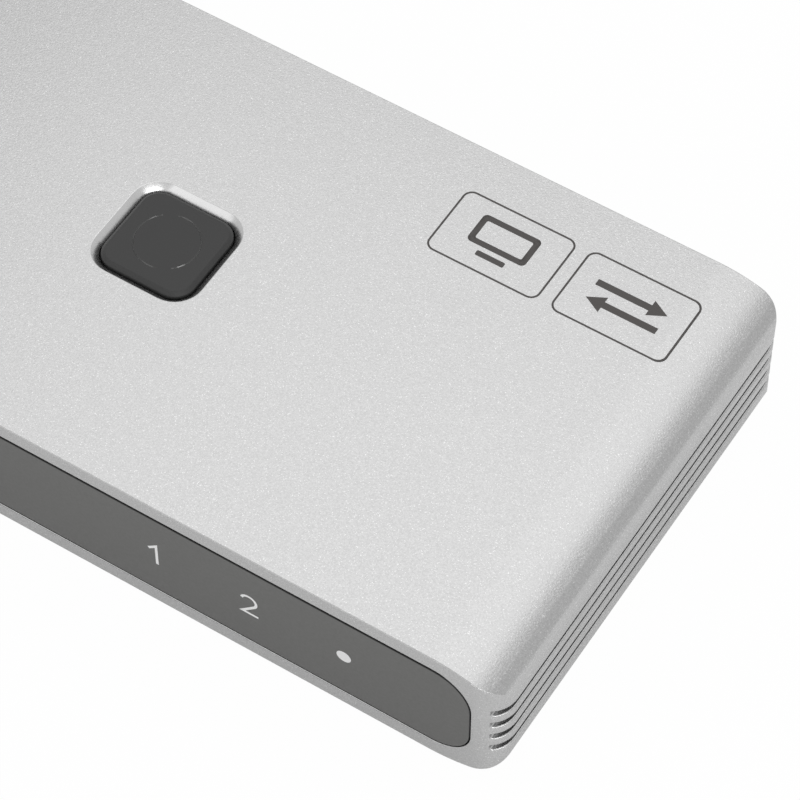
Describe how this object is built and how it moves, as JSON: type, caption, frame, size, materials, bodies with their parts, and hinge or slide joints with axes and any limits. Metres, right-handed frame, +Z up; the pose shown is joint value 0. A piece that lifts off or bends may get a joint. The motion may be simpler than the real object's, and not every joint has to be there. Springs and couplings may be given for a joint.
{
  "type": "hdmi switch box",
  "caption": "Flat extruded aluminium box that switches a display between video sources, with a smoked front panel, a square push button on top and sockets along the rear.",
  "frame": {"origin": "centre of the footprint, on the plane that the rubber feet rest on", "axes": "+X to the right seen from the front, +Y from the front panel to the rear panel, +Z up"},
  "size_m": [0.1026, 0.05, 0.0161],
  "materials": {
    "anodised_aluminium": "bead blasted and clear anodised",
    "smoked_acrylic": "smooth smoked sheet",
    "button_plastic": "fine matt texture",
    "black_plastic": "moulded, fine texture",
    "adhesive_tape": "black double-sided tape",
    "plated_steel": "nickel plated sheet",
    "black_steel": "black oxide",
    "gold_contacts": "gold plated",
    "circuit_board": "green solder mask",
    "lamp_body": "clear lens in white plastic",
    "chip_epoxy": "moulded epoxy",
    "ferrite": "pressed ferrite",
    "ceramic": "fired ceramic with tinned ends",
    "rubber": "matt"
  },
  "bodies": {
    "box": {"housing": "anodised_aluminium", "front_panel": "smoked_acrylic", "panel_tape": "adhesive_tape", "front_frame": "black_plastic", "front_screws": "plated_steel", "rear_panel": "black_plastic", "rear_screws": "black_steel", "circuit_board": "circuit_board", "hdmi_in_1_shell": "plated_steel", "hdmi_in_1_insert": "black_plastic", "hdmi_in_1_contacts": "gold_contacts", "hdmi_in_2_shell": "plated_steel", "hdmi_in_2_insert": "black_plastic", "hdmi_in_2_contacts": "gold_contacts", "hdmi_out_shell": "plated_steel", "hdmi_out_insert": "black_plastic", "hdmi_out_contacts": "gold_contacts", "power_shell": "plated_steel", "power_insert": "black_plastic", "power_contacts": "gold_contacts", "switch_base": "black_plastic", "switch_cover": "plated_steel", "switch_dome": "plated_steel", "switch_terminals": "plated_steel", "indicator_lamp_1": "lamp_body", "indicator_lamp_2": "lamp_body", "power_lamp": "lamp_body", "switch_chip": "chip_epoxy", "regulator_chip": "chip_epoxy", "power_inductor": "ferrite", "crystal": "plated_steel", "surge_arrays": "chip_epoxy", "capacitors": "ceramic", "resistors": "chip_epoxy", "rubber_feet": "rubber"},
    "button": {"button_cap": "button_plastic"},
    "plunger": {"switch_plunger": "button_plastic"}
  },
  "joints": [
    {"name": "button_press", "type": "slide", "parent": "box", "child": "button", "axis": [0, 0, -1], "range_m": [0, 0.0003], "stiffness_N_per_m": 5000},
    {"name": "plunger_press", "type": "slide", "parent": "box", "child": "plunger", "axis": [0, 0, -1], "range_m": [0, 0.0003], "deforming": ["switch_dome"]}
  ],
  "couplings": [
    {"joint": "plunger_press", "follows": "button_press", "ratio": 1}
  ]
}
